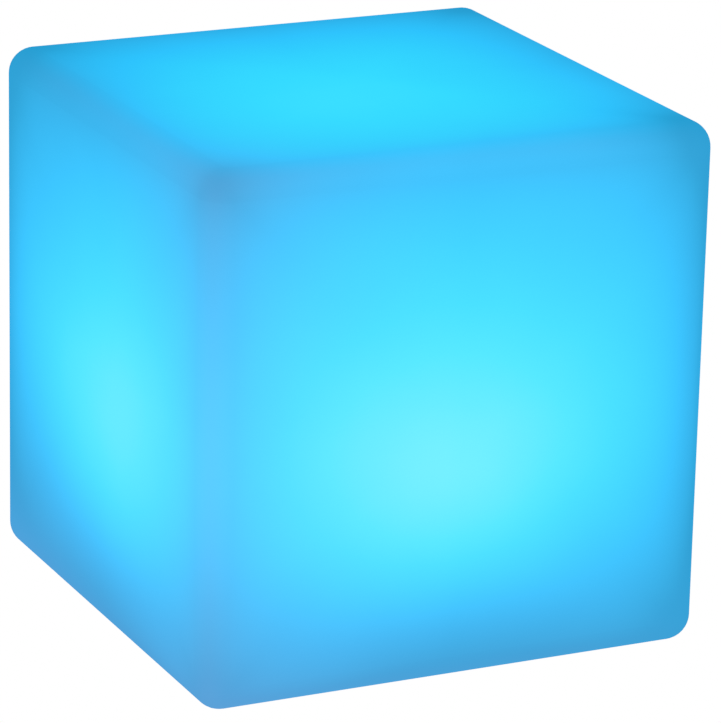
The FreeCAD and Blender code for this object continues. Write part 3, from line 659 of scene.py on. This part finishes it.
nose_root, nose_tip, nose_height, nose_rounding = 0.0025, 0.0019, 0.0024, 0.0004
nose = bmesh.ops.create_cone(bm, cap_ends=True, segments=48, radius1=nose_root, radius2=nose_tip,
                             depth=nose_height)["verts"]
bmesh.ops.translate(bm, verts=nose, vec=(port_x, 0, flap_high + nose_height / 2))
tip = [e for e in {e for v in nose for e in v.link_edges}
       if all(v.co.z > flap_high + nose_height * 0.9 for v in e.verts)]
bmesh.ops.bevel(bm, geom=tip, offset=nose_rounding, affect="EDGES", segments=3, profile=0.5,
                material=-1)

pull_from, pull_to, pull_proud, pull_sunk = end_x - 0.0038, end_x - 0.0004, 0.0008, 0.0004
block(bm, (pull_from, -foot_half, flap_low - pull_proud),
      (pull_to, foot_half, flap_low + pull_sunk), rim_rounding)
rib_from, rib_pitch, rib_width, rib_half = end_x - 0.0075, 0.0012, 0.0005, 0.0038
rib_proud, rib_sunk, rib_rounding = 0.0003, 0.0002, 0.0002
for rib in range(3):
    rib_x = rib_from + rib * rib_pitch
    block(bm, (rib_x, -rib_half, flap_low - rib_proud),
          (rib_x + rib_width, rib_half, flap_low + rib_sunk), rib_rounding, segments=2)
bmesh.ops.recalc_face_normals(bm, faces=bm.faces)
cover = piece("rubber_flap", bm, rubber, "cover", smooth=35)
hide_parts("port_cover")

web_from, web_to, bend_from, bend_to = 0.0246, 0.0262, 0.0252, 0.0256
web_half, web_low, web_thick, web_rounding = foot_half - 0.0002, flap_low + 0.00002, 0.0004, 0.00008
bm = bmesh.new()
block(bm, (web_from, -web_half, web_low), (web_to, web_half, web_low + web_thick), web_rounding)
cuts = 16
for cut in range(1, cuts):
    bmesh.ops.bisect_plane(
        bm, geom=bm.verts[:] + bm.edges[:] + bm.faces[:], dist=1e-7,
        plane_co=(web_from + (web_to - web_from) * cut / cuts, 0, 0), plane_no=(1, 0, 0))
web = piece("cover_web", bm, rubber, None, smooth=50)
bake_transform(web)


# ---- Dome and light pipe ---------------------------------------------------------------------
# Clear polycarbonate: the low dome over the LEDs, and the rod that brings the charging lamp's
# light down to the face.

clear_colour, hazy_colour = (0.93, 0.96, 0.97, 1), (0.88, 0.92, 0.93, 1)
clear_rough, haze_rough = 0.02, 0.08
clear_plastic, tree, principled = shader("clear_polycarbonate")
where = tree.nodes.new("ShaderNodeTexCoord")
haze = noise(tree, where.outputs["Object"], scale=90.0, detail=3.0)
tree.links.new(mixed(tree, haze, clear_colour, hazy_colour), principled.inputs["Base Color"])
rough = calc(tree, "MULTIPLY_ADD", haze, haze_rough, clear_rough)
tree.links.new(rough, principled.inputs["Roughness"])
principled.inputs["Transmission Weight"].default_value = 0.9
principled.inputs["IOR"].default_value = 1.585
dress(clear_plastic, "dome", "light_pipe")


# ---- Boards ----------------------------------------------------------------------------------
# The green control board with its chips, coils and plugs, and the round white LED board, which is
# aluminium behind its solder mask. Copper tracks show faintly through both masks.


def board_group():
    """Solder mask over copper tracks that run in steps along the board."""
    group, given, result = new_group(
        "printed_board",
        {"Point": "Vector", "Colour": "Color", "Second": "Color", "Roughness": "Float"},
        {"Colour": "Color", "Roughness": "Float", "Height": "Float"})
    copper_share, weave_contrast, weave_rough = 0.48, 0.16, 0.10
    tracks = group.nodes.new("ShaderNodeTexBrick")
    for socket, value in (("Scale", 300), ("Mortar Size", 0.035), ("Brick Width", 1.7),
                          ("Row Height", 0.6), ("Vector", given["Point"])):
        feed(group, tracks.inputs[socket], value)
    areas = noise(group, given["Point"], scale=120.0, detail=1.0)
    copper = calc(group, "GREATER_THAN", areas, copper_share)
    copper = calc(group, "MULTIPLY", tracks.outputs["Fac"], copper)
    weave = noise(group, given["Point"], scale=1400.0, detail=1.0)
    share = calc(group, "MULTIPLY_ADD", weave, weave_contrast, copper, clamp=True)
    rough = calc(group, "MULTIPLY_ADD", weave, weave_rough, given["Roughness"])
    group.links.new(mixed(group, share, given["Colour"], given["Second"]), result["Colour"])
    group.links.new(rough, result["Roughness"])
    group.links.new(copper, result["Height"])
    return group


printed = board_group()
mask_depth = 0.00003
green = {"Colour": (0.012, 0.13, 0.045), "Second": (0.055, 0.26, 0.10), "Roughness": 0.30}
dress(finish("green_mask", printed, green, mask_depth), "control_board")
white = {"Colour": (0.78, 0.79, 0.77), "Second": (0.64, 0.66, 0.66), "Roughness": 0.34}
dress(finish("white_mask", printed, white, mask_depth), "led_board")
package = moulded_finish("black_epoxy", (0.022, 0.022, 0.024), second=(0.045, 0.045, 0.047),
                         grain=3200, roughness=0.44, depth=0.00002)
dress(package, "board_chips", "ir_receiver")
ferrite = moulded_finish("ferrite", (0.10, 0.10, 0.105), second=(0.17, 0.165, 0.16),
                         grain=2600, roughness=0.60, depth=0.00003)
dress(ferrite, "board_coils_and_caps")
led_white = moulded_finish("led_package", (0.80, 0.79, 0.72), second=(0.72, 0.70, 0.60),
                           grain=2600, roughness=0.36, depth=0.00002)
dress(led_white, "led_chips", "charge_led")

# The bowl of each LED is filled with clear resin, lit cyan from the dies below it.
deep_light, pale_light = (0.05, 0.62, 1.0, 1), (0.35, 0.95, 1.0, 1)
deep_resin, pale_resin = (0.30, 0.60, 0.70, 1), (0.50, 0.75, 0.80, 1)
lit_resin, tree, principled = shader("lit_resin")
where = tree.nodes.new("ShaderNodeTexCoord")
dies = noise(tree, where.outputs["Object"], scale=1500.0, detail=1.0)
tree.links.new(mixed(tree, dies, deep_light, pale_light), principled.inputs["Emission Color"])
tree.links.new(mixed(tree, dies, deep_resin, pale_resin), principled.inputs["Base Color"])
principled.inputs["Emission Strength"].default_value = 1.0
principled.inputs["Roughness"].default_value = 0.12
lit_resin.cycles.emission_sampling = "NONE"
resin_radius, resin_taper, resin_depth, resin_sunk = 0.0018, 0.95, 0.0003, 0.00012
led_top, led_rings = 0.0651, ((0.036, 16), (0.020, 8))
bm = bmesh.new()
for ring_radius, count in led_rings:
    for i in range(count):
        angle = math.radians(180 / count + 360 * i / count)
        disc = bmesh.ops.create_cone(bm, cap_ends=True, segments=16,
                                     radius1=resin_radius * resin_taper, radius2=resin_radius,
                                     depth=resin_depth)["verts"]
        place = (ring_radius * math.cos(angle), ring_radius * math.sin(angle),
                 led_top - resin_sunk - resin_depth / 2)
        bmesh.ops.translate(bm, verts=disc, vec=place)
piece("led_resin", bm, lit_resin, "lamp", smooth=40)

# Solder stands up round each leg of the switch and of the socket.
solder = metal_finish("solder", (0.66, 0.67, 0.69), tarnish=(0.46, 0.47, 0.50),
                      marks=(1800, 1800, 1800), roughness=0.22, depth=0.00003)
switch_legs = ((-0.005, -0.0025), (-0.005, 0.0025), (0.005, -0.0025), (0.005, 0.0025))
socket_legs = ((port_x - 0.003, 0), (port_x + 0.003, 0), (port_x, 0.004))
drop_radius, drop_shape = 0.001, (1.15, 1.15, 0.95)
board_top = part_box("board_chips")[0].z
bm = bmesh.new()
for x, y in switch_legs + socket_legs:
    drop = bmesh.ops.create_uvsphere(bm, u_segments=20, v_segments=10, radius=drop_radius)["verts"]
    bmesh.ops.scale(bm, verts=drop, vec=drop_shape)
    bmesh.ops.translate(bm, verts=drop, vec=(x, y, board_top))
piece("solder_joints", bm, solder, "lamp", smooth=80)


# ---- Battery ---------------------------------------------------------------------------------
# Two lithium-ion cells in heat-shrunk blue sleeves, with a fibre ring round each positive tip.
# They lie in a nylon cradle under a steel clamp, with foam tape, and their leads end in plugs.

sleeve = moulded_finish("blue_sleeve", (0.020, 0.13, 0.33), second=(0.035, 0.19, 0.42),
                        grain=700, roughness=0.22, depth=0.00003)
dress(sleeve, "battery_cells")
foam = moulded_finish("foam_tape", (0.055, 0.055, 0.058), second=(0.11, 0.11, 0.115),
                      grain=2400, roughness=0.80, depth=0.00015)
dress(foam, "foam_strip")
red_wire = moulded_finish("red_wire", (0.50, 0.020, 0.015), second=(0.38, 0.014, 0.012),
                          grain=1500, roughness=0.40, depth=0.00002)
dress(red_wire, "battery_lead_red")
black_wire = moulded_finish("black_wire", (0.022, 0.022, 0.024), second=(0.045, 0.045, 0.048),
                            grain=1500, roughness=0.42, depth=0.00002)
dress(black_wire, "battery_lead_black", "led_lead")
fibre = moulded_finish("white_fibre", (0.74, 0.73, 0.68), second=(0.60, 0.58, 0.52),
                       grain=2800, roughness=0.70, depth=0.00004)

cell_y, cell_z, ring_x, ring_thick, ring_inner, ring_outer = (
    0.0096, 0.0472, 0.0310, 0.0003, 0.0032, 0.0078)
bm = bmesh.new()
for y in (-cell_y, cell_y):
    section = [bm.verts.new((x, y, cell_z + radius)) for x, radius in (
        (ring_x, ring_inner), (ring_x + ring_thick, ring_inner),
        (ring_x + ring_thick, ring_outer), (ring_x, ring_outer))]
    sides = [bm.edges.new((section[i - 1], section[i])) for i in range(len(section))]
    bmesh.ops.spin(bm, geom=section + sides, axis=(1, 0, 0), cent=(0, y, cell_z),
                   angle=2 * math.pi, steps=48, use_merge=True)
bmesh.ops.recalc_face_normals(bm, faces=bm.faces)
piece("cell_rings", bm, fibre, "lamp", smooth=40)
